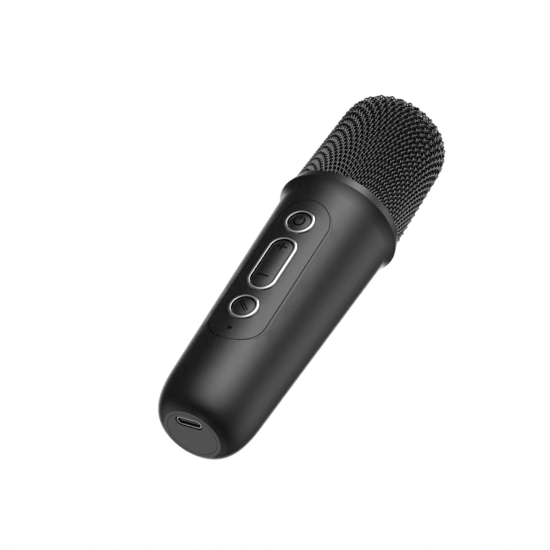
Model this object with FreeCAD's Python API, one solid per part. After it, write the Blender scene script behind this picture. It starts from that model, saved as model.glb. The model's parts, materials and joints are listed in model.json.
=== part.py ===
import FreeCAD, Part
import math
import os

# Handheld karaoke microphone, in millimetres.
# +Z runs up the axis from the flat end to the grille, and the controls face -Y.
# The origin is the centre of the flat end, on which the microphone stands.

V = FreeCAD.Vector
os.makedirs("parts", exist_ok=True)

# ---------------------------------------------------------------- driving dimensions
total_length = 148.0

# barrel
flat_radius = 10.1              # edge of the flat end
base_round_height = 16.0        # where the rounded base runs into the taper
taper_radius_at_end = 16.06     # radius of the taper's cone, carried down to z = 0
taper_slope = 0.0397            # growth of the radius per millimetre of height
wall = 2.0
barrel_top = 94.1               # parting line between barrel and collar

# collar under the grille
rim_height = 98.3
rim_radius = 21.42
bevel_top = 101.7
bevel_radius = 20.45
flare_start_angle = 8.5         # degrees from the axis, where the hollow flare leaves the barrel
neck_outer_radius = 18.4
neck_inner_radius = 16.9
neck_top = 99.0

# grille
mesh_radius_low = 20.2          # at the collar
mesh_radius_high = 19.15        # where the dome begins
dome_start = 132.9
dome_fullness = 0.873           # 1 would be a square corner, 0.552 an ellipse
mesh_thickness = 1.7            # of the cloth as it lies: its wires weave over and under each other
mesh_bottom = 98.5
clamp_wall = 0.7
foam_gap = 0.2                  # between the mesh and the foam windscreen
foam_wall = 5.0

# end cap and charging socket
cap_radius = 8.85
cap_thickness = 1.6
cap_gap = 0.06
socket_width = 8.94
socket_height = 3.26
socket_wall = 0.3
socket_depth = 7.35
socket_recess = 0.25            # how far the socket's mouth sits inside the flat end
socket_clearance = 0.42
tongue_setback = 0.35            # of the tongue's tip behind the socket's mouth

# printed circuit board, parallel to XZ
board_front = -8.0
board_thickness = 1.2
board_half_width = 9.0
board_bottom = 3.4
board_top = 88.0
board_screw_places = [(-7.6, 16.0), (7.6, 16.0), (-7.6, 84.0), (7.6, 84.0)]   # x, z

# control panel, a long inlay with round ends, flush with the barrel
panel_half_width = 9.4
panel_low = 26.9
panel_high = 88.5
panel_thickness = 1.1
panel_gap = 0.25
groove_distance = 1.08          # of the fine groove outside the panel's long edges
groove_width = 0.18
groove_depth = 0.12
light_height = 30.9
light_radius = 0.9
light_recess = 0.8              # of the clear pin below the barrel

# keys
power_height = 78.75
volume_height = 59.75
mode_height = 40.45
cap_half_width = 3.7            # radius of the round keys, half the width of the rocker
key_crown = 0.62                # top of a key above the barrel
key_dome_radius = 10.5
key_rounding = 0.3
volume_half_length = 6.65       # straight half of the rocker's sides
ring_inner = 4.05
ring_outer = 5.15
ring_gap = 0.14                 # round the ring in its pocket
ring_skirt = 4.3
ring_rounding = 0.65
ring_inner_rounding = 0.16
ring_height = 0.36
ring_seat = 0.64                # depth of the flat pocket that the ring sits in
ring_depth = 1.5
flange_depth = 3.1
flange_thickness = 0.8
flange_reach = 0.9              # how far the flange stands out past the key
pivot_depth = 4.4
pivot_radius = 0.6
hub_radius = 1.2
hub_half_length = 4.5
pivot_clearance = 0.05
lug_centre = 6.3                # lugs that hold the rocker's pin, either side of the rocker
pin_half_length = 7.0
rocker_foot_arm = 6.5
contact_gap = 0.08              # between a key and its plunger at rest

# tact switches
switch_size = 6.0
switch_body = 3.5
plunger_radius = 1.6
plunger_reach = 0.9             # above the switch body at rest
plunger_depth = 1.2             # inside the switch body
plunger_clearance = 0.08

# battery cell, type 14500
cell_radius = 7.1
cell_length = 50.0
cell_y = 4.6
cell_bottom = 24.5
plug_height = 3.4

# capsule
capsule_radius = 7.0
capsule_bottom = 108.0
capsule_height = 8.5
boot_wall = 1.5

# chassis: a tray with a flange that sits on a step inside the barrel
tray_half_width = 9.2
tray_back = 12.4
tray_bottom = 14.0
step_inner_radius = 13.9
chassis_flange_radius = 16.8
chassis_flange_low = 88.6
chassis_flange_high = 90.0
chassis_screw_radius = 15.3
chassis_screw_angles = (90, 210, 330)

# values that follow from those above
taper_angle = math.degrees(math.atan(taper_slope))
panel_centre = (panel_low + panel_high) / 2
panel_half_straight = (panel_high - panel_low) / 2 - panel_half_width
key_places = [(power_height, 0.0), (volume_height, volume_half_length), (mode_height, 0.0)]
board_back = board_front + board_thickness
socket_y = board_back + socket_height / 2
chassis_screw_places = []
for screw_angle in chassis_screw_angles:
    screw_x = chassis_screw_radius * math.cos(math.radians(screw_angle))
    screw_y = chassis_screw_radius * math.sin(math.radians(screw_angle))
    chassis_screw_places.append((screw_x, screw_y))


# ---------------------------------------------------------------- helpers
def save(name, shape):
    shape = shape.removeSplitter()
    assert shape.isValid(), name
    print(name, "solids", len(shape.Solids), "volume", round(shape.Volume, 2))
    shape.exportStep("parts/" + name + ".step")


def barrel_radius(z):
    return taper_radius_at_end + taper_slope * z


def point(radius, z):
    return V(radius, 0, z)


def line(a, b):
    return Part.LineSegment(point(*a), point(*b)).toShape()


def bezier(poles):
    curve = Part.BezierCurve()
    curve.setPoles([point(r, z) for r, z in poles])
    return curve.toShape()


def arc(a, middle, b):
    return Part.Arc(point(*a), point(*middle), point(*b)).toShape()


def turn(edges):
    """Solid of revolution about Z from a closed run of edges in the XZ half-plane."""
    face = Part.Face(Part.Wire(edges))
    solid = face.revolve(V(0, 0, 0), V(0, 0, 1), 360)
    return solid if solid.Volume > 0 else solid.reversed()


def lathe(points):
    """Solid of revolution from a closed polygon of (radius, z)."""
    return turn([line(points[i], points[(i + 1) % len(points)]) for i in range(len(points))])


def tube(outer, inner, low, high):
    return lathe([(inner, low), (outer, low), (outer, high), (inner, high)])


def rod(radius, low, high, x=0.0, y=0.0):
    return Part.makeCylinder(radius, high - low, V(x, y, low))


def block(low, high):
    size = [b - a for a, b in zip(low, high)]
    return Part.makeBox(size[0], size[1], size[2], V(*low))


def slot_face(half_width, half_length):
    """Flat face in XY: two half circles of half_width, their centres 2 half_length apart along Y."""
    if half_length == 0:
        return Part.Face(Part.Wire(Part.Circle(V(0, 0, 0), V(0, 0, 1), half_width).toShape()))
    w, s = half_width, half_length
    edges = [
        Part.LineSegment(V(w, -s, 0), V(w, s, 0)).toShape(),
        Part.Arc(V(w, s, 0), V(0, s + w, 0), V(-w, s, 0)).toShape(),
        Part.LineSegment(V(-w, s, 0), V(-w, -s, 0)).toShape(),
        Part.Arc(V(-w, -s, 0), V(0, -s - w, 0), V(w, -s, 0)).toShape(),
    ]
    return Part.Face(Part.Wire(edges))


def slot_prism(half_width, half_length, low, high):
    prism = slot_face(half_width, half_length).extrude(V(0, 0, high - low))
    prism.translate(V(0, 0, low))
    return prism


def edges_at(shape, height, reach_low, reach_high, half_length):
    """Edges lying flat at a height, whose distance from the slot's centre line is in a range."""
    chosen = []
    for edge in shape.Edges:
        box = edge.BoundBox
        if abs(box.ZMin - height) > 1e-4 or abs(box.ZMax - height) > 1e-4:
            continue
        middle = edge.valueAt((edge.FirstParameter + edge.LastParameter) / 2)
        along = max(abs(middle.y) - half_length, 0.0)
        if reach_low < math.hypot(middle.x, along) < reach_high:
            chosen.append(edge)
    return chosen


def on_barrel(shape, z):
    """Moves a shape from key axes (X across, Y up the barrel, Z outwards) to height z on the front."""
    shape = shape.copy()
    shape.rotate(V(0, 0, 0), V(1, 0, 0), 90 + taper_angle)
    shape.translate(V(0, -barrel_radius(z), z))
    return shape


def inward(z, depth):
    """Point at a depth below the barrel's front, straight in along the key's axis."""
    t = math.radians(taper_angle)
    return V(0, -barrel_radius(z) + depth * math.cos(t), z + depth * math.sin(t))


def depth_of_y(z, y):
    """Depth along the key's axis at which it reaches a plane of constant y."""
    return (y + barrel_radius(z)) / math.cos(math.radians(taper_angle))


def cone_solid(offset, low, high):
    """Inside of the barrel's taper, made smaller by an offset."""
    return Part.makeCone(barrel_radius(low) - offset, barrel_radius(high) - offset, high - low, V(0, 0, low))


def panel_prism(grow, low_y, high_y):
    """Panel outline, grown, run along Y."""
    prism = slot_prism(panel_half_width + grow, panel_half_straight, 0, high_y - low_y)
    prism.rotate(V(0, 0, 0), V(1, 0, 0), 90)
    prism.translate(V(0, high_y, panel_centre))
    return prism


# ---------------------------------------------------------------- barrel
def base_curve(radius, height_low, handle_low, rise_low, handle_high, radius_high, height_high):
    """Rounded base: leaves the flat end at a slant and runs smoothly into the taper."""
    return bezier([
        (radius, height_low),
        (radius + handle_low, height_low + rise_low),
        (radius_high - handle_high * taper_slope, height_high - handle_high),
        (radius_high, height_high),
    ])


def pivot_rod(radius, half_length):
    """Round rod on the rocker's pivot axis."""
    pivot = Part.makeCylinder(radius, 2 * half_length, V(-half_length, 0, -pivot_depth), V(1, 0, 0))
    return on_barrel(pivot, volume_height)


def key_opening(z, half_length):
    return on_barrel(slot_prism(ring_skirt + 0.1, half_length, -6, 3), z)


def edge_groove():
    """Fine groove round the panel, clear of its long edges and running into its seam at both ends."""
    half_straight = panel_half_straight - groove_distance + panel_gap / 2
    inner_half_width = panel_half_width + groove_distance - groove_width / 2
    outline = slot_prism(inner_half_width + groove_width, half_straight, 0, 30)
    outline = outline.cut(slot_prism(inner_half_width, half_straight, -1, 31))
    outline.rotate(V(0, 0, 0), V(1, 0, 0), 90)
    outline.translate(V(0, 0, panel_centre))
    return outline.cut(cone_solid(groove_depth, 10, 100))


def make_body_shell():
    top_radius = barrel_radius(barrel_top)
    bore_top = barrel_top - 4.0
    bore_top_radius = barrel_radius(bore_top) - wall
    round_radius = barrel_radius(base_round_height)
    bore = cap_radius + cap_gap
    ledge = 7.8
    floor = 3.0
    inner_round_height = base_round_height + 1.0
    inner_round_radius = barrel_radius(inner_round_height) - wall
    outline = [
        line((bore, 0), (flat_radius, 0)),
        base_curve(flat_radius, 0, 1.95, 1.0, 14.0, round_radius, base_round_height),
        line((round_radius, base_round_height), (top_radius, barrel_top)),
        line((top_radius, barrel_top), (neck_outer_radius, barrel_top)),
        line((neck_outer_radius, barrel_top), (neck_outer_radius, neck_top)),
        line((neck_outer_radius, neck_top), (neck_inner_radius, neck_top)),
        line((neck_inner_radius, neck_top), (neck_inner_radius, barrel_top - 3.0)),
        line((neck_inner_radius, barrel_top - 3.0), (bore_top_radius, bore_top)),
        line((bore_top_radius, bore_top), (inner_round_radius, inner_round_height)),
        base_curve(flat_radius - 0.2, floor, 2.2, 0.6, 10.0, inner_round_radius, inner_round_height),
        line((flat_radius - 0.2, floor), (ledge, floor)),
        line((ledge, floor), (ledge, cap_thickness + 0.05)),
        line((ledge, cap_thickness + 0.05), (bore, cap_thickness + 0.05)),
        line((bore, cap_thickness + 0.05), (bore, 0)),
    ]
    body = turn(outline)

    recess = panel_prism(panel_gap, -30, 0)
    body = body.cut(recess.cut(cone_solid(panel_thickness + 0.05, 10, 100)))
    body = body.cut(edge_groove())
    for z, half_length in key_places:
        body = body.cut(key_opening(z, half_length))
    light_hole = Part.makeCylinder(1.2, 20, V(0, -30, light_height), V(0, 1, 0))
    body = body.cut(light_hole)

    # two lugs inside the wall carry the rocker's pin
    for side in (-1, 1):
        lug = block((side * lug_centre - 0.7, -1.6, -pivot_depth - 1.5), (side * lug_centre + 0.7, 1.6, -1.5))
        lug = on_barrel(lug, volume_height).common(cone_solid(wall - 0.4, 30, 90))
        body = body.fuse(lug)
    body = body.cut(pivot_rod(pivot_radius, pin_half_length))

    # inner step that the chassis is screwed to
    step = cone_solid(wall - 0.1, chassis_flange_low - 3.5, chassis_flange_low)
    step = step.cut(rod(step_inner_radius, 80, 95))
    body = body.fuse(step)
    for x, y in chassis_screw_places:
        body = body.cut(rod(0.65, chassis_flange_low - 3.0, chassis_flange_low + 1, x, y))
    return body


def make_end_cap():
    disc = rod(cap_radius, 0, cap_thickness)
    disc = disc.makeChamfer(0.08, [e for e in disc.Edges if e.BoundBox.ZMax < 0.01])
    skirt = tube(7.65, 6.4, cap_thickness - 0.1, 5.6)
    bead = lathe([(7.5, 3.15), (8.0, 3.55), (8.0, 3.75), (7.5, 4.2)])
    bead = bead.cut(tube(7.6, 7.0, 3.0, 4.4))
    snaps = bead.fuse(skirt)
    snaps = snaps.cut(block((-9, -9, cap_thickness), (9, -1.8, 7)))
    for x in (-3.5, 3.5):
        snaps = snaps.cut(block((x - 0.5, 0, 2.2), (x + 0.5, 9, 7)))
    cap = disc.fuse(snaps)
    return cap.cut(socket_outline(socket_clearance, -1, cap_thickness + 1))


# ---------------------------------------------------------------- charging socket
def socket_outline(grow, low, high):
    half_height = socket_height / 2 + grow
    half_straight = (socket_width - socket_height) / 2
    prism = slot_prism(half_height, half_straight, low, high)
    prism.rotate(V(0, 0, 0), V(0, 0, 1), 90)
    prism.translate(V(0, socket_y, 0))
    return prism


def make_usb_shell():
    low = socket_recess
    high = socket_recess + socket_depth
    shell = socket_outline(0, low, high)
    rim = [e for e in shell.Edges if e.BoundBox.ZMax < low + 0.01]
    shell = shell.makeFillet(0.1, rim)
    return shell.cut(socket_outline(-socket_wall, low - 1, high - 0.9))


def make_usb_tongue():
    back = socket_recess + socket_depth - 0.9
    front = socket_recess + tongue_setback
    tongue = block((-3.3, socket_y - 0.35, front), (3.3, socket_y + 0.35, back))
    tip = [e for e in tongue.Edges if e.BoundBox.ZMax < front + 0.01 and e.BoundBox.XLength > 1]
    tongue = tongue.makeChamfer(0.15, tip)
    base = socket_outline(-socket_wall - 0.02, back - 1.6, back)
    return tongue.fuse(base)


# ---------------------------------------------------------------- panel, keys and rings
def make_control_panel():
    panel = panel_prism(0, -30, 0).common(cone_solid(0, 10, 100))
    panel = panel.cut(cone_solid(panel_thickness, 9, 101))
    for z, half_length in key_places:
        panel = panel.cut(on_barrel(slot_prism(ring_outer + ring_gap, half_length, -ring_seat, 3), z))
        panel = panel.cut(on_barrel(slot_prism(ring_skirt + 0.03, half_length, -6, 3), z))
    light_hole = Part.makeCylinder(light_radius, 30, V(0, -30, light_height), V(0, 1, 0))
    return panel.cut(light_hole)


def make_ring(z, half_length):
    ring = slot_prism(ring_outer, half_length, -ring_seat, ring_height)
    ring = ring.fuse(slot_prism(ring_skirt, half_length, -ring_depth, 0))
    ring = ring.cut(slot_prism(ring_inner, half_length, -5, 5)).removeSplitter()
    outer = edges_at(ring, ring_height, ring_outer - 0.05, ring_outer + 0.05, half_length)
    ring = ring.makeFillet(ring_rounding, outer)
    inner = edges_at(ring, ring_height, ring_inner - 0.05, ring_inner + 0.05, half_length)
    ring = ring.makeFillet(ring_inner_rounding, inner)
    return on_barrel(ring, z)


def crown_dome(half_length):
    """Ball, or bar with ball ends, that a key's crown is cut from, its poles and seams off the key."""
    centre = V(0, 0, key_crown - key_dome_radius)
    ends = {-half_length, half_length}
    balls = [Part.makeSphere(key_dome_radius, centre + V(0, 0, end)) for end in sorted(ends)]
    dome = balls[0]
    if half_length > 0:
        bar = Part.makeCylinder(key_dome_radius, 2 * half_length, centre - V(0, 0, half_length))
        dome = dome.fuse([bar, balls[1]])
    dome.rotate(centre, V(1, 0, 0), 90)
    return dome


def key_cap(half_length):
    """Crowned top of a key, from its flange up, in key axes."""
    cap = slot_prism(cap_half_width, half_length, -flange_depth - 0.1, key_crown + 1)
    cap = cap.common(crown_dome(half_length)).removeSplitter()
    rim_height = key_crown - key_dome_radius + math.sqrt(key_dome_radius ** 2 - cap_half_width ** 2)
    rim = edges_at(cap, rim_height, cap_half_width - 0.05, cap_half_width + 0.05, half_length)
    return cap.makeFillet(key_rounding, rim)


def key_flange(half_length):
    reach = cap_half_width + flange_reach
    return slot_prism(reach, half_length, -flange_depth - flange_thickness, -flange_depth)


def make_round_key(z):
    plunger_top = board_front - switch_body - plunger_reach
    post = rod(1.5, -depth_of_y(z, plunger_top) + contact_gap, -flange_depth)
    key = key_cap(0).fuse(key_flange(0)).fuse(post)
    return on_barrel(key, z)


def make_volume_rocker():
    plunger_top = board_front - switch_body - plunger_reach
    key = key_cap(volume_half_length).fuse(key_flange(volume_half_length))
    reach = hub_half_length
    hub = Part.makeCylinder(hub_radius, 2 * reach, V(-reach, 0, -pivot_depth), V(1, 0, 0))
    web = block((-reach, -hub_radius, -pivot_depth), (reach, hub_radius, -flange_depth - 0.1))
    key = key.fuse(hub).fuse(web)
    for end in (-1, 1):
        z = volume_height + end * rocker_foot_arm
        depth = depth_of_y(z, plunger_top) - contact_gap
        foot = rod(0.9, -depth, -flange_depth, 0, end * rocker_foot_arm)
        key = key.fuse(foot)
    return on_barrel(key, volume_height).cut(pivot_rod(pivot_radius + pivot_clearance, reach + 1))


def make_rocker_pin():
    return pivot_rod(pivot_radius - 0.01, pin_half_length - 0.1)


def make_status_lightpipe():
    front = -barrel_radius(light_height) + light_recess
    shoulder = front + 1.1
    back = board_front - 1.2
    stem = Part.makeCylinder(light_radius - 0.03, shoulder - front, V(0, front, light_height), V(0, 1, 0))
    guide = Part.makeCylinder(1.0, back - shoulder, V(0, shoulder, light_height), V(0, 1, 0))
    return stem.fuse(guide)


# ---------------------------------------------------------------- switches
def switch_place(key):
    """Height of each switch's axis, where the key's axis meets the switch's plunger."""
    plunger_top = board_front - switch_body - plunger_reach
    heights = {
        "power": (power_height, 0.0),
        "volume_up": (volume_height, rocker_foot_arm),
        "volume_down": (volume_height, -rocker_foot_arm),
        "mode": (mode_height, 0.0),
    }
    z, arm = heights[key]
    return inward(z, depth_of_y(z, plunger_top)).z + arm


def make_switch(key):
    z = switch_place(key)
    half = switch_size / 2
    body = block((-half, board_front - switch_body, z - half), (half, board_front, z + half))
    body = body.makeChamfer(0.4, [e for e in body.Edges if e.BoundBox.YLength > 1])
    hole = plunger_radius + plunger_clearance
    return body.cut(Part.makeCylinder(hole, 1.8, V(0, board_front - switch_body, z), V(0, 1, 0)))


def make_plunger(key):
    z = switch_place(key)
    front = board_front - switch_body - plunger_reach
    plunger = Part.makeCylinder(plunger_radius, plunger_reach + plunger_depth, V(0, front, z), V(0, 1, 0))
    return plunger.makeChamfer(0.15, [e for e in plunger.Edges if e.BoundBox.YMax < front + 0.01])


# ---------------------------------------------------------------- board and its parts
def make_main_pcb():
    narrow = 6.4
    shoulder = 9.5
    corners = [
        V(-narrow, board_front, board_bottom), V(narrow, board_front, board_bottom),
        V(narrow, board_front, shoulder), V(board_half_width, board_front, shoulder + 2.6),
        V(board_half_width, board_front, board_top), V(-board_half_width, board_front, board_top),
        V(-board_half_width, board_front, shoulder + 2.6), V(-narrow, board_front, shoulder),
    ]
    board = Part.Face(Part.makePolygon(corners + corners[:1])).extrude(V(0, board_thickness, 0))
    for x, z in board_screw_places:
        board = board.cut(Part.makeCylinder(0.95, 4, V(x, board_front - 1, z), V(0, 1, 0)))
    return board


def make_board_screws():
    """Cross-slotted pan-head screws through the board into the chassis."""
    slot_reach = 0.8
    slot_half = 0.15
    slot_front = board_front - 1.1
    slot_bottom = board_front - 0.6
    screws = []
    for x, z in board_screw_places:
        head = Part.makeCylinder(1.5, 1.0, V(x, board_front - 1.0, z), V(0, 1, 0))
        shank = Part.makeCylinder(0.8, board_thickness + 3.0, V(x, board_front, z), V(0, 1, 0))
        screw = head.makeFillet(0.3, [e for e in head.Edges if e.BoundBox.YMax < board_front - 0.99])
        screw = screw.fuse(shank)
        for dx, dz in ((slot_reach, slot_half), (slot_half, slot_reach)):
            screw = screw.cut(block((x - dx, slot_front, z - dz), (x + dx, slot_bottom, z + dz)))
        screws.append(screw)
    return Part.makeCompound(screws)


def make_wireless_module():
    """Shielded radio module on the back of the board."""
    can = block((-5.5, board_back, 60.5), (5.5, board_back + 1.8, 72.5))
    return can.makeFillet(0.4, [e for e in can.Edges if e.BoundBox.YMin > board_back + 1.7])


def make_audio_chips():
    """Audio processor and charging controller, two flat packages in one group."""
    chips = []
    for low_z, size in ((50.0, 6.0), (16.0, 4.0)):
        chip = block((-size / 2, board_back, low_z), (size / 2, board_back + 0.9, low_z + size))
        chips.append(chip.makeChamfer(0.15, [e for e in chip.Edges if e.BoundBox.YMin > board_back + 0.8]))
    return Part.makeCompound(chips)


def make_capacitors():
    """Three can capacitors in a row on the front of the board."""
    cans = []
    for z in (50.0, 55.0, 71.5):
        can = Part.makeCylinder(1.7, 3.2, V(5.6, board_front - 3.2, z), V(0, 1, 0))
        cans.append(can.makeFillet(0.35, [e for e in can.Edges if e.BoundBox.YMax < board_front - 3.1]))
    return Part.makeCompound(cans)


def make_status_led():
    return block((-0.8, board_front - 0.7, light_height - 0.6), (0.8, board_front, light_height + 0.6))


# ---------------------------------------------------------------- chassis and battery
def make_chassis():
    """Tray behind the board that holds the cell, with a flange screwed to the barrel's inner step."""
    front = board_back - 1
    tray = block((-tray_half_width, board_back, tray_bottom),
                 (tray_half_width, tray_back, chassis_flange_low))
    tray = tray.common(cone_solid(wall + 0.5, 5, 95)).common(rod(step_inner_radius - 0.3, 5, 95))
    pocket_radius = cell_radius + 0.2
    pocket_low = cell_bottom - 1.2
    pocket_high = cell_bottom + cell_length + 1.2
    cell_pocket = rod(pocket_radius, pocket_low, pocket_high, 0, cell_y)
    cell_mouth = block((-pocket_radius, front, pocket_low), (pocket_radius, cell_y, pocket_high))
    charger_recess = block((-6.0, front, 10.0), (6.0, 1.0, 21.5))
    plug_recess = block((-6.2, front, 79.0), (6.2, 9.0, 86.0))
    chip_channel = block((-3.0, front, 20.0), (3.0, -2.8, 80.0))
    back_window = block((-3.5, 3.0, 30.0), (3.5, 20.0, 70.0))
    for cavity in (cell_pocket, cell_mouth, charger_recess, plug_recess, chip_channel, back_window):
        tray = tray.cut(cavity)
    flange = rod(chassis_flange_radius, chassis_flange_low, chassis_flange_high)
    capsule_lead_slot = block((-3.2, -7.0, 85.0), (3.2, -3.5, 92.0))
    cell_lead_slot = block((2.2, 0.2, 75.0), (5.8, 2.3, 80.0))
    chassis = tray.fuse(flange).cut(capsule_lead_slot).cut(cell_lead_slot)
    for x, z in board_screw_places:
        chassis = chassis.cut(Part.makeCylinder(0.8, 3.1, V(x, board_back - 0.05, z), V(0, 1, 0)))
    for x, y in chassis_screw_places:
        chassis = chassis.cut(rod(0.9, 80, 95, x, y))
    return chassis


def make_chassis_screws():
    screws = []
    for x, y in chassis_screw_places:
        head = rod(1.3, chassis_flange_high, chassis_flange_high + 0.9, x, y)
        head = head.makeFillet(0.3, [e for e in head.Edges if e.BoundBox.ZMin > chassis_flange_high + 0.8])
        shank = rod(0.65, chassis_flange_low - 2.9, chassis_flange_high, x, y)
        screws.append(head.fuse(shank))
    return Part.makeCompound(screws)


def make_battery_cell():
    cell = rod(cell_radius, cell_bottom, cell_bottom + cell_length - 1.5, 0, cell_y)
    top = cell_bottom + cell_length - 1.5
    rims = [e for e in cell.Edges if e.BoundBox.ZLength < 0.01]
    cell = cell.makeFillet(0.5, rims)
    return cell.fuse(rod(2.6, top - 0.5, top + 1.5, 0, cell_y))


def make_battery_pad():
    """Foam pad that keeps the cell from rattling in the tray."""
    return rod(3.2, cell_bottom + cell_length + 0.02, cell_bottom + cell_length + 1.18, 0, cell_y)


def make_battery_plug():
    return block((1.7, board_back, 81.0), (5.9, board_back + plug_height, 85.5))


def bent_lead(corners, radius, bend):
    """Round lead along straight runs joined by tangent arcs."""
    edges = []
    start = corners[0]
    for i in range(1, len(corners) - 1):
        before = (corners[i - 1] - corners[i]).normalize()
        after = (corners[i + 1] - corners[i]).normalize()
        half_turn = (math.pi - before.getAngle(after)) / 2
        back = bend * math.tan(half_turn)
        first = corners[i] + before * back
        last = corners[i] + after * back
        to_centre = (before + after).normalize()
        middle = corners[i] + to_centre * (bend / math.cos(half_turn) - bend)
        edges.append(Part.LineSegment(start, first).toShape())
        edges.append(Part.Arc(first, middle, last).toShape())
        start = last
    edges.append(Part.LineSegment(start, corners[-1]).toShape())
    path = Part.Wire(edges)
    profile = Part.Wire(Part.Circle(corners[0], corners[1] - corners[0], radius).toShape())
    lead = path.makePipeShell([profile], True, False)
    expected = math.pi * radius ** 2 * path.Length
    assert abs(lead.Volume / expected - 1) < 0.02, "lead volume"
    return lead


def make_battery_leads():
    """Two leads from the protected end of the cell to their plug on the board."""
    cell_shoulder = cell_bottom + cell_length - 1.5
    leads = []
    for x in (3.0, 4.7):
        corners = [V(x, board_back + plug_height, 83.5), V(x, 1.1, 83.5), V(x, 1.1, cell_shoulder)]
        leads.append(bent_lead(corners, 0.5, 2.0))
    return Part.makeCompound(leads)


# ---------------------------------------------------------------- head
def make_collar():
    """Flared collar: hollow flare out to a sharp rim, then a bevel in to the grille."""
    base_radius = barrel_radius(barrel_top)
    rise = rim_height - barrel_top
    spread = rim_radius - base_radius
    chord_angle = math.atan2(spread, rise)
    half_sweep = chord_angle - math.radians(flare_start_angle)
    chord = math.hypot(rise, spread)
    sag = chord / 2 * math.tan(half_sweep / 2)
    middle = (base_radius + spread / 2 - sag * math.cos(chord_angle),
              barrel_top + rise / 2 + sag * math.sin(chord_angle))
    bore = neck_outer_radius + 0.05
    seat = mesh_bottom - 0.05
    gap = 0.03
    outline = [
        arc((base_radius, barrel_top), middle, (rim_radius, rim_height)),
        line((rim_radius, rim_height), (bevel_radius, bevel_top)),
        line((bevel_radius, bevel_top), (mesh_radius(bevel_top) + gap, bevel_top)),
        line((mesh_radius(bevel_top) + gap, bevel_top), (mesh_radius(seat) + gap, seat)),
        line((mesh_radius(seat) + gap, seat), (bore, seat)),
        line((bore, seat), (bore, barrel_top)),
        line((bore, barrel_top), (base_radius, barrel_top)),
    ]
    return turn(outline)


def mesh_radius(z):
    part_way = (z - bevel_top) / (dome_start - bevel_top)
    return mesh_radius_low + (mesh_radius_high - mesh_radius_low) * part_way


def dome_edges(offset):
    """Cone and dome line of the grille, offset inwards, from the dome's start to its top."""
    radius = mesh_radius_high - offset
    height = total_length - dome_start - offset
    top = dome_start + height
    return bezier([
        (radius, dome_start),
        (radius, dome_start + dome_fullness * height),
        (dome_fullness * radius, top),
        (0, top),
    ])


def thimble(outer_offset, inner_offset, low):
    """Closed cup between two offsets of the grille's surface, open at the bottom."""
    top = total_length
    low_outer = (mesh_radius(low) - outer_offset, low)
    low_inner = (mesh_radius(low) - inner_offset, low)
    outline = [
        line(low_inner, low_outer),
        line(low_outer, (mesh_radius_high - outer_offset, dome_start)),
        dome_edges(outer_offset),
        line((0, top - outer_offset), (0, top - inner_offset)),
        dome_edges(inner_offset),
        line((mesh_radius_high - inner_offset, dome_start), low_inner),
    ]
    return turn(outline)


def make_grille_clamp():
    outer = mesh_radius(bevel_top) - mesh_thickness - 0.08
    return tube(outer, outer - clamp_wall, neck_top + 0.05, bevel_top + 1.0)


def make_windscreen():
    outer_offset = mesh_thickness + foam_gap
    return thimble(outer_offset, outer_offset + foam_wall, bevel_top + 1.3)


def make_capsule_cradle():
    """Plate on the neck with a tube that holds the capsule's rubber boot."""
    plate = rod(neck_outer_radius - 0.85, neck_top + 0.05, neck_top + 2.0)
    skirt = tube(neck_inner_radius - 0.1, neck_inner_radius - 1.5, neck_top - 2.6, neck_top + 0.1)
    outer = capsule_radius + boot_wall + 1.5
    post = tube(outer, outer - 1.5 + 0.05, neck_top + 1.9, capsule_bottom + 2.0)
    cradle = plate.fuse(skirt).fuse(post)
    cradle = cradle.cut(rod(2.2, 90, capsule_bottom))
    for i in range(4):
        window = block((-2.0, 0, neck_top + 4.0), (2.0, 14, capsule_bottom - 1.5))
        window.rotate(V(0, 0, 0), V(0, 0, 1), 45 + 90 * i)
        cradle = cradle.cut(window)
    return cradle


def make_capsule_boot():
    outer = capsule_radius + boot_wall
    flange_low = capsule_bottom + 2.05
    outline = [
        (2.4, capsule_bottom - 1.6), (outer, capsule_bottom - 1.6), (outer, flange_low),
        (outer + 1.2, flange_low), (outer + 1.2, flange_low + 1.5), (capsule_radius + 0.02, flange_low + 1.5),
        (capsule_radius + 0.02, capsule_bottom), (2.4, capsule_bottom),
    ]
    return lathe(outline)


def make_mic_capsule():
    can = rod(capsule_radius, capsule_bottom + 0.02, capsule_bottom + capsule_height)
    return can.makeFillet(0.4, [e for e in can.Edges if e.BoundBox.ZLength < 0.01])


def make_capsule_cover():
    """Perforated front plate of the capsule."""
    low = capsule_bottom + capsule_height + 0.02
    plate = rod(capsule_radius - 0.4, low, low + 0.6)
    for count, radius in ((1, 0.0), (6, 2.3), (12, 4.6)):
        for i in range(count):
            a = 2 * math.pi * i / count
            plate = plate.cut(rod(0.55, low - 1, low + 2, radius * math.cos(a), radius * math.sin(a)))
    return plate


def make_capsule_leads():
    """Twin lead from the capsule down through the chassis flange to the board."""
    low = board_back + 1.2
    leads = []
    for x in (-0.8, 0.8):
        corners = [V(x, 0, capsule_bottom), V(x, 0, 95.5), V(x, low, 93.0), V(x, low, 84.5)]
        leads.append(bent_lead(corners, 0.45, 2.5))
    return Part.makeCompound(leads)


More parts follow.
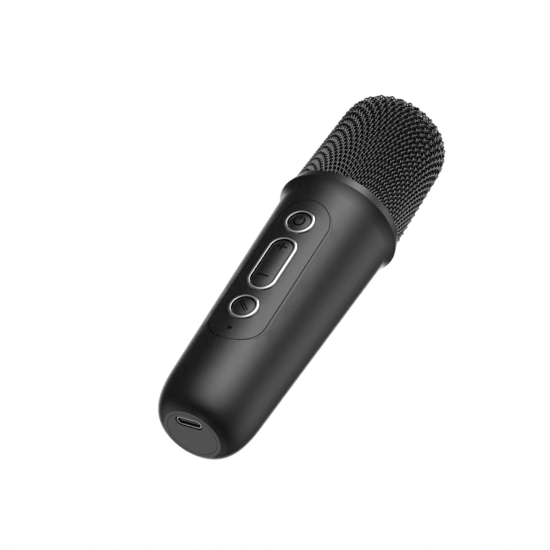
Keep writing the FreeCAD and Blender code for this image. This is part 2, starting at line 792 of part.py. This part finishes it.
# ---------------------------------------------------------------- build
def main():
    save("body_shell", make_body_shell())
    save("end_cap", make_end_cap())
    save("usb_shell", make_usb_shell())
    save("usb_tongue", make_usb_tongue())
    save("control_panel", make_control_panel())
    save("power_ring", make_ring(power_height, 0.0))
    save("volume_ring", make_ring(volume_height, volume_half_length))
    save("mode_ring", make_ring(mode_height, 0.0))
    save("power_button", make_round_key(power_height))
    save("mode_button", make_round_key(mode_height))
    save("volume_rocker", make_volume_rocker())
    save("rocker_pin", make_rocker_pin())
    save("status_lightpipe", make_status_lightpipe())
    for key in ("power", "volume_up", "volume_down", "mode"):
        save(key + "_switch", make_switch(key))
        save(key + "_plunger", make_plunger(key))
    save("main_pcb", make_main_pcb())
    save("board_screws", make_board_screws())
    save("wireless_module", make_wireless_module())
    save("audio_chips", make_audio_chips())
    save("capacitors", make_capacitors())
    save("status_led", make_status_led())
    save("chassis", make_chassis())
    save("chassis_screws", make_chassis_screws())
    save("battery_cell", make_battery_cell())
    save("battery_pad", make_battery_pad())
    save("battery_plug", make_battery_plug())
    save("battery_leads", make_battery_leads())
    save("collar_ring", make_collar())
    save("grille_mesh", thimble(0, mesh_thickness, mesh_bottom))
    save("grille_clamp", make_grille_clamp())
    save("windscreen", make_windscreen())
    save("capsule_cradle", make_capsule_cradle())
    save("capsule_boot", make_capsule_boot())
    save("mic_capsule", make_mic_capsule())
    save("capsule_cover", make_capsule_cover())
    save("capsule_leads", make_capsule_leads())


main()
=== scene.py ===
import json
import math

import bpy
import numpy as np
from mathutils import Matrix, Vector
from mathutils.bvhtree import BVHTree


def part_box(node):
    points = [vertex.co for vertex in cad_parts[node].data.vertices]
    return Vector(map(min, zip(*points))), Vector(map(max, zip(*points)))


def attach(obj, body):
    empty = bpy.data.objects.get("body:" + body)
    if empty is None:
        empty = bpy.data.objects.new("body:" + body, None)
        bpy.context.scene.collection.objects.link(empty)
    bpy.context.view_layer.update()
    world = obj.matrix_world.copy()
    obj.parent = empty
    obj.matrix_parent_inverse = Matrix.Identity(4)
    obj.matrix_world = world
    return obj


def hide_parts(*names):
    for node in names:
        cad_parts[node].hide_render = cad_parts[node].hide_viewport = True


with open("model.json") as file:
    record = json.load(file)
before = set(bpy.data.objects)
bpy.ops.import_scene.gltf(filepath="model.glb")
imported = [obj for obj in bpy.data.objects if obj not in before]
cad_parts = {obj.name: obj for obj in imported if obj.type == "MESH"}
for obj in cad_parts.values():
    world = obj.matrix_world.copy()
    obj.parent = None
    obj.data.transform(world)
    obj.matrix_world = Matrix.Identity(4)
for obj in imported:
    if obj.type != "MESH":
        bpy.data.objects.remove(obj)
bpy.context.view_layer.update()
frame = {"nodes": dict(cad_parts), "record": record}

# Karaoke microphone, in metres. +Z runs up the barrel, the controls face -Y.
# An azimuth is counted from -Y towards +X, in degrees.
MM = 0.001
NODES = frame["nodes"]

# ---------------------------------------------------------------- design values
# grille: plain square weave of drawn wire, pressed into a deep cup
wire_width = 0.39 * MM
wire_height = 0.58 * MM        # through the cloth: the wires are oval
weave_pitch = 2.07 * MM        # along the wall, from the pole to the collar
crimp = (0.64 * MM, 0.34 * MM)  # how far each family of wires swings to either side of the cloth
wire_sides = 8
steps_per_crossing = 4
wire_wander = 0.035            # uneven spacing, in pitches
dome_height = 15.1 * MM
dome_radius = 19.15 * MM       # where the dome begins
dome_fullness = 0.873          # 1 would be a square corner, 0.552 an ellipse
grille_foot_radius = 20.2 * MM  # at the top of the collar
mesh_edge = 99.3 * MM          # the wires end here, hidden in the collar

# foam windscreen
foam_inset = 0.12 * MM         # of its skin inside the room it has
foam_wall = 4.9 * MM
foam_hem = 0.05 * MM           # of its lower edge above the low end of that room
foam_unevenness = 0.045 * MM   # standard deviation of its skin
foam_around = 240
foam_rings = 150
foam_first_ring = 0.35         # radius of the innermost ring, in ring spacings

# barrel and keys
barrel_radius_at_end = 16.06 * MM   # of the taper's cone, carried down to z = 0
taper_slope = 0.0397           # growth of the radius with height
power_height = 78.75 * MM
volume_height = 59.75 * MM
mode_height = 40.45 * MM

# marks on the keys, in millimetres
mark_stroke = 0.66
fine_stroke = 0.5
mark_sink = 0.05               # how deep a mark reaches under the key's crown
mark_rise = 0.012              # how far it stands above the crown
power_radius = 1.8
power_opening = 35             # degrees either side of the top
volume_reach = 1.85            # half the length of a bar of the + and -
plus_place = 7.1               # up from the middle of the rocker
minus_place = -5.8

# camera, aimed from below; the roll leans the object to the right
view_azimuth = 33.5
view_elevation = -34.73
view_roll = 34.91
aim = Vector((-6.07, -3.94, 67.38)) * MM
distance = 1.0057              # in metres, from the aim
lens = 203.88

# studio
floor_height = -0.75
floor_reach = 30.0
base_light = 0.06              # from every side, under the soft boxes


# ---------------------------------------------------------------- material helpers
class Finish:
    """A material with a Principled shader and short calls that add nodes to it."""

    def __init__(self, name):
        self.material = bpy.data.materials.new(name)
        self.material.use_nodes = True
        self.tree = self.material.node_tree
        self.shader = self.tree.nodes["Principled BSDF"]
        self.place = self.tree.nodes.new("ShaderNodeTexCoord").outputs["Object"]

    def set(self, **values):
        """Sets sockets of the shader, named in lower case with underscores."""
        names = {socket.name.lower().replace(" ", "_"): socket for socket in self.shader.inputs}
        for name, value in values.items():
            names[name].default_value = value
        return self

    def noise(self, size, detail=3.0, roughness=0.55, stretch=(1, 1, 1)):
        """Noise whose features are about size metres across, drawn out along each axis by stretch."""
        mapping = self.tree.nodes.new("ShaderNodeMapping")
        mapping.inputs["Scale"].default_value = [1 / (size * s) for s in stretch]
        texture = self.tree.nodes.new("ShaderNodeTexNoise")
        texture.inputs["Scale"].default_value = 1.0
        texture.inputs["Detail"].default_value = detail
        texture.inputs["Roughness"].default_value = roughness
        self.tree.links.new(self.place, mapping.inputs["Vector"])
        self.tree.links.new(mapping.outputs["Vector"], texture.inputs["Vector"])
        return texture.outputs["Fac"]

    def cells(self, size):
        """Voronoi cells about size metres across."""
        texture = self.tree.nodes.new("ShaderNodeTexVoronoi")
        texture.inputs["Scale"].default_value = 1 / size
        self.tree.links.new(self.place, texture.inputs["Vector"])
        return texture.outputs["Distance"]

    def waves(self, size, direction="Z", distortion=0.5):
        """Fine parallel lines, size metres apart."""
        texture = self.tree.nodes.new("ShaderNodeTexWave")
        texture.bands_direction = direction
        texture.inputs["Scale"].default_value = 0.314 / size
        texture.inputs["Distortion"].default_value = distortion
        self.tree.links.new(self.place, texture.inputs["Vector"])
        return texture.outputs["Fac"]

    def spread(self, value, low, high, start=0.3, end=0.7):
        """Maps a value from start..end to low..high, numbers or colours."""
        if isinstance(low, tuple):
            ramp = self.tree.nodes.new("ShaderNodeValToRGB")
            ramp.color_ramp.elements[0].position = start
            ramp.color_ramp.elements[0].color = (*low, 1)
            ramp.color_ramp.elements[1].position = end
            ramp.color_ramp.elements[1].color = (*high, 1)
            self.tree.links.new(value, ramp.inputs["Fac"])
            return ramp.outputs["Color"]
        node = self.tree.nodes.new("ShaderNodeMapRange")
        for name, number in (("From Min", start), ("From Max", end), ("To Min", low), ("To Max", high)):
            node.inputs[name].default_value = number
        self.tree.links.new(value, node.inputs["Value"])
        return node.outputs["Result"]

    def colour(self, value, low, high, start=0.3, end=0.7):
        self.tree.links.new(self.spread(value, low, high, start, end), self.shader.inputs["Base Color"])
        return self

    def roughness(self, value, low, high, start=0.3, end=0.7):
        self.tree.links.new(self.spread(value, low, high, start, end), self.shader.inputs["Roughness"])
        return self

    def relief(self, *layers):
        """Bump from (value, height in metres) layers, one on top of the other."""
        below = None
        for value, height in layers:
            bump = self.tree.nodes.new("ShaderNodeBump")
            bump.inputs["Strength"].default_value = 1.0
            bump.inputs["Distance"].default_value = height
            self.tree.links.new(value, bump.inputs["Height"])
            if below:
                self.tree.links.new(below, bump.inputs["Normal"])
            below = bump.outputs["Normal"]
        self.tree.links.new(below, self.shader.inputs["Normal"])
        return self


# ---------------------------------------------------------------- finishes
def satin_paint():
    """Satin black lacquer: fine grain, a soft orange peel and a slight unevenness of gloss."""
    f = Finish("satin_black_paint")
    f.set(specular_ior_level=0.56)
    f.colour(f.noise(0.9 * MM, 4.0), (0.0042, 0.0042, 0.0044), (0.0074, 0.0074, 0.0078))
    f.roughness(f.noise(3.0 * MM, 5.0), 0.235, 0.285)
    return f.relief((f.noise(0.14 * MM, 2.0), 0.0014 * MM), (f.noise(1.3 * MM, 1.5), 0.0022 * MM)).material


def panel_moulding():
    """Inlaid panel: the same black in a slightly finer grain."""
    f = Finish("satin_black_moulding")
    f.set(specular_ior_level=0.56)
    f.colour(f.noise(0.7 * MM, 4.0), (0.0044, 0.0044, 0.0047), (0.0078, 0.0078, 0.0082))
    f.roughness(f.noise(2.2 * MM, 5.0), 0.225, 0.275)
    return f.relief((f.noise(0.11 * MM, 2.0), 0.0011 * MM), (f.noise(1.0 * MM, 1.5), 0.0015 * MM)).material


def key_moulding():
    """Keys: smoother and glossier, with the faint polish that fingers leave."""
    f = Finish("semi_gloss_black_moulding")
    f.set(specular_ior_level=0.6)
    f.colour(f.noise(0.6 * MM, 3.0), (0.0055, 0.0055, 0.0058), (0.0090, 0.0090, 0.0094))
    f.roughness(f.noise(1.6 * MM, 4.0), 0.17, 0.23)
    return f.relief((f.noise(0.10 * MM, 2.0), 0.0006 * MM)).material


def mark_ink():
    f = Finish("mark_ink")
    f.set(specular_ior_level=0.04)
    f.colour(f.noise(0.25 * MM, 3.0), (0.0010, 0.0010, 0.0011), (0.0022, 0.0022, 0.0023))
    f.roughness(f.noise(0.30 * MM, 3.0), 0.50, 0.62)
    return f.relief((f.noise(0.05 * MM, 2.0), 0.001 * MM)).material


def chrome():
    """Bright plating with the hair marks of handling."""
    f = Finish("bright_chrome")
    f.set(metallic=1.0)
    f.colour(f.noise(0.8 * MM, 3.0), (0.52, 0.52, 0.54), (0.62, 0.62, 0.63))
    f.roughness(f.noise(0.5 * MM, 5.0, 0.7, (1, 1, 6)), 0.06, 0.11)
    return f.relief((f.noise(0.9 * MM, 2.0), 0.0008 * MM)).material


def mesh_wire():
    """Dark lacquered steel wire: drawing lines along it show as fine unevenness."""
    f = Finish("dark_lacquered_wire")
    f.set(metallic=1.0)
    f.colour(f.noise(0.5 * MM, 4.0), (0.105, 0.105, 0.107), (0.155, 0.155, 0.158))
    f.roughness(f.noise(0.25 * MM, 4.0), 0.12, 0.20)
    return f.relief((f.noise(0.06 * MM, 2.0), 0.002 * MM)).material


def bright_steel():
    f = Finish("brushed_steel")
    f.set(metallic=1.0)
    f.colour(f.noise(0.7 * MM, 4.0), (0.44, 0.44, 0.46), (0.60, 0.60, 0.62))
    f.roughness(f.noise(0.3 * MM, 5.0, 0.6, (8, 1, 1)), 0.22, 0.36)
    return f.relief((f.noise(0.2 * MM, 3.0, 0.6, (8, 1, 1)), 0.001 * MM)).material


def foam():
    """Open-cell foam, near black: cells a third of a millimetre across. Its colour carries painted shade,
    darker in the hollow of each cell where the bump sinks.
    """
    f = Finish("open_cell_foam")
    f.set(specular_ior_level=0.1)
    # painted shade: the colour darkens towards each cell's centre, in the same hollows the bump below sinks
    # into
    f.colour(f.cells(0.34 * MM), (0.0060, 0.0060, 0.0062), (0.0200, 0.0200, 0.0204), 0.1, 0.8)
    f.roughness(f.noise(0.5 * MM, 3.0), 0.92, 1.0)
    return f.relief((f.cells(0.34 * MM), 0.10 * MM)).material


def black_moulding(name, colour_low, colour_high, rough_low, rough_high):
    """Glass-filled or epoxy moulding with a matt, faintly mottled skin."""
    f = Finish(name)
    f.colour(f.noise(0.5 * MM, 5.0), colour_low, colour_high)
    f.roughness(f.noise(1.0 * MM, 4.0), rough_low, rough_high)
    return f.relief((f.noise(0.12 * MM, 3.0), 0.003 * MM)).material


def boot_rubber():
    f = Finish("silicone_rubber")
    f.set(specular_ior_level=0.4, sheen_weight=0.15)
    f.colour(f.noise(1.5 * MM, 3.0), (0.022, 0.022, 0.022), (0.034, 0.034, 0.034))
    f.roughness(f.noise(0.8 * MM, 3.0), 0.55, 0.72)
    return f.relief((f.noise(0.2 * MM, 2.0), 0.004 * MM)).material


def circuit_board():
    """Solder mask over a ground plane, with the glass weave just showing."""
    f = Finish("solder_mask")
    f.set(coat_weight=0.4)
    f.colour(f.noise(2.5 * MM, 5.0), (0.006, 0.060, 0.024), (0.012, 0.105, 0.045))
    f.roughness(f.noise(0.8 * MM, 3.0), 0.28, 0.42)
    return f.relief((f.waves(0.5 * MM, "X"), 0.004 * MM), (f.waves(0.5 * MM, "Z"), 0.004 * MM)).material


def cell_wrap():
    """Heat-shrink sleeve with faint lengthwise flow marks."""
    f = Finish("heat_shrink_sleeve")
    f.set(coat_weight=0.3, coat_roughness=0.2)
    f.colour(f.noise(3.0 * MM, 3.0, 0.5, (1, 1, 8)), (0.028, 0.120, 0.250), (0.045, 0.165, 0.330))
    f.roughness(f.noise(1.2 * MM, 3.0), 0.28, 0.40)
    return f.relief((f.noise(0.8 * MM, 2.0, 0.5, (1, 1, 10)), 0.010 * MM)).material


def lead_insulation():
    f = Finish("lead_insulation")
    f.colour(f.noise(0.8 * MM, 3.0), (0.36, 0.028, 0.024), (0.50, 0.045, 0.038))
    f.roughness(f.noise(0.4 * MM, 3.0), 0.38, 0.52)
    return f.relief((f.noise(0.15 * MM, 2.0), 0.004 * MM)).material


def natural_nylon():
    f = Finish("natural_nylon")
    f.set(subsurface_weight=0.1)
    f.colour(f.noise(0.9 * MM, 3.0), (0.66, 0.63, 0.55), (0.76, 0.74, 0.67))
    f.roughness(f.noise(0.5 * MM, 3.0), 0.38, 0.52)
    return f.relief((f.noise(0.15 * MM, 2.0), 0.003 * MM)).material


def smoked_light():
    """Clear pin, smoked dark so that it hides in the panel until it is lit."""
    f = Finish("smoked_acrylic")
    f.set(transmission_weight=0.35, ior=1.49)
    f.colour(f.noise(0.4 * MM, 2.0), (0.020, 0.021, 0.023), (0.034, 0.035, 0.038))
    f.roughness(f.noise(0.3 * MM, 2.0), 0.08, 0.16)
    return f.relief((f.noise(0.2 * MM, 2.0), 0.001 * MM)).material


def drawn_can():
    f = Finish("drawn_aluminium")
    f.set(metallic=1.0)
    f.colour(f.noise(0.6 * MM, 4.0), (0.60, 0.60, 0.62), (0.72, 0.72, 0.74))
    f.roughness(f.noise(0.25 * MM, 4.0, 0.6, (1, 1, 9)), 0.26, 0.40)
    return f.relief((f.noise(0.2 * MM, 3.0, 0.6, (1, 1, 9)), 0.001 * MM)).material


FINISHES = {
    "barrel_paint": satin_paint(),
    "panel_plastic": panel_moulding(),
    "key_plastic": key_moulding(),
    "ring_chrome": chrome(),
    "mesh_steel": mesh_wire(),
    "inner_steel": bright_steel(),
    "foam": foam(),
    "inner_plastic": black_moulding("filled_nylon", (0.030,) * 3, (0.046,) * 3, 0.50, 0.66),
    "boot_rubber": boot_rubber(),
    "board": circuit_board(),
    "chip_epoxy": black_moulding("moulded_epoxy", (0.022,) * 3, (0.038,) * 3, 0.30, 0.42),
    "cell_wrap": cell_wrap(),
    "lead_insulation": lead_insulation(),
    "plug_white": natural_nylon(),
    "light_clear": smoked_light(),
    "capsule_can": drawn_can(),
}
INK = mark_ink()


def dress_cad_nodes():
    """Gives every CAD node the finish of its slot in the record."""
    for part in frame["record"]["subparts"]:
        mesh = NODES[part["node"]].data
        mesh.materials.clear()
        mesh.materials.append(FINISHES[part["material_slot"]])


def add_piece(name, vertices, faces, material, body, smooth=True):
    mesh = bpy.data.meshes.new(name)
    mesh.from_pydata([tuple(v) for v in vertices], [], [tuple(f) for f in faces])
    mesh.materials.append(material)
    mesh.polygons.foreach_set("use_smooth", [smooth] * len(mesh.polygons))
    mesh.update()
    piece = bpy.data.objects.new(name, mesh)
    bpy.context.scene.collection.objects.link(piece)
    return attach(piece, body)


# ---------------------------------------------------------------- grille
class Profile:
    """The grille's outline from the pole down to its edge, offset inwards, by arc length."""

    def __init__(self, inset, low_end):
        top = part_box("grille_mesh")[1].z
        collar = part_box("collar_ring")[1].z
        t = np.linspace(0, 1, 600)
        dome = [(0, top), (dome_fullness * dome_radius, top),
                (dome_radius, top - (1 - dome_fullness) * dome_height), (dome_radius, top - dome_height)]
        weights = [(1 - t) ** 3, 3 * (1 - t) ** 2 * t, 3 * (1 - t) * t ** 2, t ** 3]
        radius = sum(w * p[0] for w, p in zip(weights, dome))
        height = sum(w * p[1] for w, p in zip(weights, dome))
        slope = (grille_foot_radius - dome_radius) / (top - dome_height - collar)
        wall = np.linspace(top - dome_height, low_end, 400)[1:]
        radius = np.append(radius, dome_radius + slope * (top - dome_height - wall))
        height = np.append(height, wall)
        run_r, run_z = np.gradient(radius), np.gradient(height)
        length = np.hypot(run_r, run_z)
        self.normal_r, self.normal_z = -run_z / length, run_r / length
        self.radius = radius - inset * self.normal_r
        self.height = height - inset * self.normal_z
        self.radius[0] = 0
        steps = np.hypot(np.diff(self.radius), np.diff(self.height))
        self.arc = np.append(0, np.cumsum(steps))

    def at(self, arc, azimuth, lift=0.0):
        """Points at an arc length and an azimuth in radians, lifted off the surface, with the normals."""
        nr = np.interp(arc, self.arc, self.normal_r)
        nz = np.interp(arc, self.arc, self.normal_z)
        radius = np.interp(arc, self.arc, self.radius) + lift * nr
        height = np.interp(arc, self.arc, self.height) + lift * nz
        across, along = np.sin(azimuth), -np.cos(azimuth)
        points = np.stack([radius * across, radius * along, height], -1)
        return points, np.stack([nr * across, nr * along, nz], -1)


def tube_along(points, normals, width, height, sides):
    """Vertices and faces of a closed oval tube, its height along the surface's normals."""
    tangent = np.gradient(points, axis=0)
    tangent /= np.linalg.norm(tangent, axis=1)[:, None]
    side = np.cross(tangent, normals)
    side /= np.linalg.norm(side, axis=1)[:, None]
    up = np.cross(side, tangent)
    turn = np.arange(sides) * 2 * math.pi / sides
    rise = height / 2 * np.cos(turn)[None, :, None] * up[:, None]
    spread = width / 2 * np.sin(turn)[None, :, None] * side[:, None]
    vertices = (points[:, None] + rise + spread).reshape(-1, 3)
    faces = []
    for k in range(len(points) - 1):
        for s in range(sides):
            a, b = k * sides + s, k * sides + (s + 1) % sides
            faces.append((a, b, b + sides, a + sides))
    last = (len(points) - 1) * sides
    faces.append(tuple(reversed(range(sides))))
    faces.append(tuple(range(last, last + sides)))
    return vertices, faces


def weave_wire(profile, family, index, reach, shift):
    """One wire of the weave: straight in the flat cloth, and drawn down over the dome with it."""
    half = math.sqrt(reach ** 2 - index ** 2)
    ticks = math.floor(half * steps_per_crossing)
    along = np.arange(-ticks, ticks + 1) / steps_per_crossing
    if half * steps_per_crossing - ticks > 0.2:
        along = np.concatenate([[-half], along, [half]])
    across = np.full(len(along), index + shift)
    x, y = (across, along) if family == 0 else (along, across)
    over = (-1) ** (index + family)
    lift = over * crimp[family] * np.cos(math.pi * along)
    points, normals = profile.at(np.hypot(x, y) * weave_pitch, np.arctan2(y, x), lift)
    return tube_along(points, normals, wire_width, wire_height, wire_sides)


def make_grille():
    profile = Profile(wire_height / 2 + max(crimp), mesh_edge)
    reach = profile.arc[-1] / weave_pitch
    wander = np.random.default_rng(7)
    vertices, faces, count = [], [], 0
    for family in (0, 1):
        for index in range(-int(reach), int(reach) + 1):
            if reach ** 2 - index ** 2 < 4:
                continue
            shift = wander.normal(0, wire_wander)
            v, f = weave_wire(profile, family, index, reach, shift)
            vertices.append(v)
            faces += [tuple(k + count for k in face) for face in f]
            count += len(v)
    grille = add_piece("woven_grille", np.concatenate(vertices), faces, FINISHES["mesh_steel"], "housing")
    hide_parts("grille_mesh")


# ---------------------------------------------------------------- foam windscreen
def make_windscreen():
    """Foam cup behind the mesh, its skin broken up by open cells."""
    low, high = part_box("windscreen")
    outer_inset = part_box("grille_mesh")[1].z - high.z + foam_inset
    around, rings = foam_around, foam_rings
    uneven = np.random.default_rng(11)
    azimuth = np.arange(around) * 2 * math.pi / around
    vertices, faces = [], []
    for wall, inset in enumerate((outer_inset, outer_inset + foam_wall)):
        profile = Profile(inset, low.z + foam_hem)
        for k in range(rings):
            arc = profile.arc[-1] * (k + foam_first_ring) / (rings - 1 + foam_first_ring)
            lift = uneven.normal(0, foam_unevenness, around) if wall == 0 else np.zeros(around)
            vertices.append(profile.at(np.full(around, arc), azimuth, lift)[0])
        first = wall * rings * around
        for k in range(rings - 1):
            for s in range(around):
                a, b = first + k * around + s, first + k * around + (s + 1) % around
                face = (a, a + around, b + around, b)
                faces.append(face if wall == 0 else face[::-1])
        crown = tuple(first + s for s in range(around))
        faces.append(crown if wall == 0 else crown[::-1])
    hem_outer, hem_inner = (rings - 1) * around, (2 * rings - 1) * around
    for s in range(around):
        t = (s + 1) % around
        faces.append((hem_outer + s, hem_inner + s, hem_inner + t, hem_outer + t))
    screen = add_piece("foam_windscreen", np.concatenate(vertices), faces, FINISHES["foam"], "housing")
    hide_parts("windscreen")


# ---------------------------------------------------------------- marks on the keys
def key_axes(height):
    """Origin and axes of a key: X across, Y up the barrel and Z outwards."""
    lean = math.atan(taper_slope)
    outwards = Vector((0, -math.cos(lean), -math.sin(lean)))
    up = Vector((0, -math.sin(lean), math.cos(lean)))
    radius = barrel_radius_at_end + taper_slope * height
    return Vector((0, -radius, height)), Vector((1, 0, 0)), up, outwards


def lay_mark(name, node, height, strokes, body):
    """Thin inlaid mark. Each stroke is a grid of (x, y) points in millimetres, laid on the key's crown.

    A stroke whose first and last rows are the same is closed on itself.
    """
    origin, across, up, outwards = key_axes(height)
    key = NODES[node].data
    skin = BVHTree.FromPolygons([v.co for v in key.vertices], [p.vertices for p in key.polygons])
    vertices, faces = [], []
    for grid in strokes:
        rows, columns = len(grid), len(grid[0])
        closed = grid[0][0] == grid[-1][0]
        first = len(vertices)
        used = rows - 1 if closed else rows
        for level in (-mark_sink, mark_rise):
            for row in grid[:used]:
                for x, y in row:
                    start = origin + (across * x + up * y + outwards * 3) * MM
                    hit = skin.ray_cast(start, -outwards)[0]
                    vertices.append(hit + outwards * level * MM)
        layer = used * columns
        spans = used if closed else used - 1
        for i in range(spans):
            for j in range(columns - 1):
                a, b = first + i * columns + j, first + (i + 1) % used * columns + j
                faces.append((a + layer, b + layer, b + layer + 1, a + layer + 1))
                faces.append((a, a + 1, b + 1, b))
            for j, flip in ((0, False), (columns - 1, True)):
                a, b = first + i * columns + j, first + (i + 1) % used * columns + j
                wall = (a, b, b + layer, a + layer)
                faces.append(wall[::-1] if flip else wall)
        if not closed:
            for i, flip in ((0, True), (used - 1, False)):
                for j in range(columns - 1):
                    a = first + i * columns + j
                    wall = (a, a + 1, a + 1 + layer, a + layer)
                    faces.append(wall if flip else wall[::-1])
    mark = add_piece(name, vertices, faces, INK, body, smooth=False)


def bar(x0, y0, x1, y1, width, steps=12):
    """Straight stroke with square ends."""
    run = Vector((x1 - x0, y1 - y0)).normalized()
    side = Vector((-run.y, run.x)) * width / 2
    grid = []
    for k in range(steps + 1):
        x, y = x0 + (x1 - x0) * k / steps, y0 + (y1 - y0) * k / steps
        grid.append([(x + side.x * s, y + side.y * s) for s in (-1, 0, 1)])
    return grid


def sweep(radius, start, end, width, steps=40):
    """Round stroke between two angles in degrees."""
    grid = []
    for k in range(steps + 1):
        a = math.radians(start + (end - start) * k / steps)
        grid.append([((radius + width / 2 * s) * math.cos(a), (radius + width / 2 * s) * math.sin(a))
                     for s in (1, 0, -1)])
    return grid


def make_marks():
    """Power sign, plus and minus, and a plain mark of two slanted strokes with a short one across."""
    stroke, reach = mark_stroke, volume_reach
    power = [
        sweep(power_radius, 90 + power_opening, 450 - power_opening, stroke),
        bar(0, 0.6, 0, 2.4, stroke),
    ]
    lay_mark("power_mark", "power_button", power_height, power, "power_key")
    volume = [
        bar(-reach, plus_place, reach, plus_place, stroke),
        bar(0, plus_place + stroke / 2, 0, plus_place + reach, stroke),
        bar(0, plus_place - stroke / 2, 0, plus_place - reach, stroke),
        bar(-reach, minus_place, reach, minus_place, stroke),
    ]
    lay_mark("volume_marks", "volume_rocker", volume_height, volume, "volume_key")
    mode = [
        bar(-1.1, 1.7, 2.1, -1.3, fine_stroke),
        bar(-1.7, 1.1, 1.5, -1.9, fine_stroke),
        bar(-2.4, 1.0, -1.0, 2.4, fine_stroke),
    ]
    lay_mark("mode_mark", "mode_button", mode_height, mode, "mode_key")


# ---------------------------------------------------------------- studio
def make_camera():
    a, e = math.radians(view_azimuth), math.radians(view_elevation)
    back = Vector((math.sin(a) * math.cos(e), -math.cos(a) * math.cos(e), math.sin(e)))
    camera = bpy.data.objects.new("camera", bpy.data.cameras.new("camera"))
    camera.data.lens = lens
    camera.data.sensor_width = 36.0
    camera.data.clip_start = 0.01
    camera.data.clip_end = 100.0
    turn = back.to_track_quat("Z", "Y").to_matrix() @ Matrix.Rotation(math.radians(view_roll), 3, "Z")
    camera.matrix_world = Matrix.Translation(aim + back * distance) @ turn.to_4x4()
    bpy.context.scene.collection.objects.link(camera)
    bpy.context.scene.camera = camera


class Sky:
    """World light built from soft boxes: broad lobes round the object that fade out up or down.

    What the camera sees directly is plain white; the lobes light the object and show in its gloss.
    """

    def __init__(self):
        world = bpy.data.worlds.new("studio")
        bpy.context.scene.world = world
        world.use_nodes = True
        self.tree = world.node_tree
        self.tree.nodes.clear()
        coordinates = self.tree.nodes.new("ShaderNodeTexCoord")
        split = self.tree.nodes.new("ShaderNodeSeparateXYZ")
        self.tree.links.new(coordinates.outputs["Generated"], split.inputs["Vector"])
        self.x, self.y, self.z = split.outputs
        self.height = self.math("MULTIPLY", self.math("ARCSINE", self.z), 180 / math.pi)
        behind = self.math("MULTIPLY", self.y, -1.0)
        self.azimuth = self.math("MULTIPLY", self.math("ARCTAN2", self.x, behind), 180 / math.pi)

    def math(self, operation, *values):
        node = self.tree.nodes.new("ShaderNodeMath")
        node.operation = operation
        for socket, value in zip(node.inputs, values):
            if isinstance(value, (int, float)):
                socket.default_value = value
            else:
                self.tree.links.new(value, socket)
        return node.outputs[0]

    def fade(self, value, start, end):
        """Smooth step from 0 at start to 1 at end."""
        node = self.tree.nodes.new("ShaderNodeMapRange")
        node.interpolation_type = "SMOOTHSTEP"
        node.inputs["From Min"].default_value = start
        node.inputs["From Max"].default_value = end
        self.tree.links.new(value, node.inputs["Value"])
        return node.outputs["Result"]

    def box(self, azimuth, half_width, strength, low, high):
        """Soft box at an azimuth, from nothing at elevation low to full strength at elevation high."""
        away = self.math("WRAP", self.math("SUBTRACT", self.azimuth, azimuth), 180.0, -180.0)
        share = self.math("POWER", self.math("DIVIDE", away, half_width), 2.0)
        bell = self.math("POWER", math.e, self.math("MULTIPLY", share, -1.0))
        return self.math("MULTIPLY", self.math("MULTIPLY", bell, strength), self.fade(self.height, low, high))

    def finish(self, lights):
        total = base_light
        for light in lights:
            total = self.math("ADD", light, total)
        seen = self.tree.nodes.new("ShaderNodeLightPath").outputs["Is Camera Ray"]
        mix = self.tree.nodes.new("ShaderNodeMix")
        mix.data_type = "FLOAT"
        self.tree.links.new(seen, mix.inputs[0])
        self.tree.links.new(total, mix.inputs[2])
        mix.inputs[3].default_value = 1.0
        light = self.tree.nodes.new("ShaderNodeBackground")
        light.inputs["Color"].default_value = (1, 1, 1, 1)
        self.tree.links.new(mix.outputs[0], light.inputs["Strength"])
        out = self.tree.nodes.new("ShaderNodeOutputWorld")
        self.tree.links.new(light.outputs[0], out.inputs["Surface"])


def make_light():
    """Main box in front, a weaker one to the right, two narrow edge lights behind and one from below."""
    sky = Sky()
    sky.finish([
        sky.box(22, 34, 3.95, -58, 31),
        sky.box(119, 33, 1.08, -45, 38),
        sky.box(-132, 14, 1.2, -5, 25),
        sky.box(-158, 9, 2.0, -5, 25),
        sky.box(-140, 40, 1.1, 0, -40),
    ])


def make_floor():
    material = bpy.data.materials.new("pale_floor")
    material.use_nodes = True
    shader = material.node_tree.nodes["Principled BSDF"]
    shader.inputs["Base Color"].default_value = (0.85, 0.85, 0.85, 1)
    shader.inputs["Roughness"].default_value = 0.9
    mesh = bpy.data.meshes.new("floor")
    r = floor_reach
    mesh.from_pydata([(-r, -r, 0), (r, -r, 0), (r, r, 0), (-r, r, 0)], [], [(0, 1, 2, 3)])
    mesh.materials.append(material)
    floor = bpy.data.objects.new("floor", mesh)
    floor.location.z = floor_height
    floor.visible_glossy = False
    bpy.context.scene.collection.objects.link(floor)


dress_cad_nodes()
make_grille()
make_windscreen()
make_marks()
make_camera()
make_light()
make_floor()
bpy.context.scene.view_settings.view_transform = "Standard"
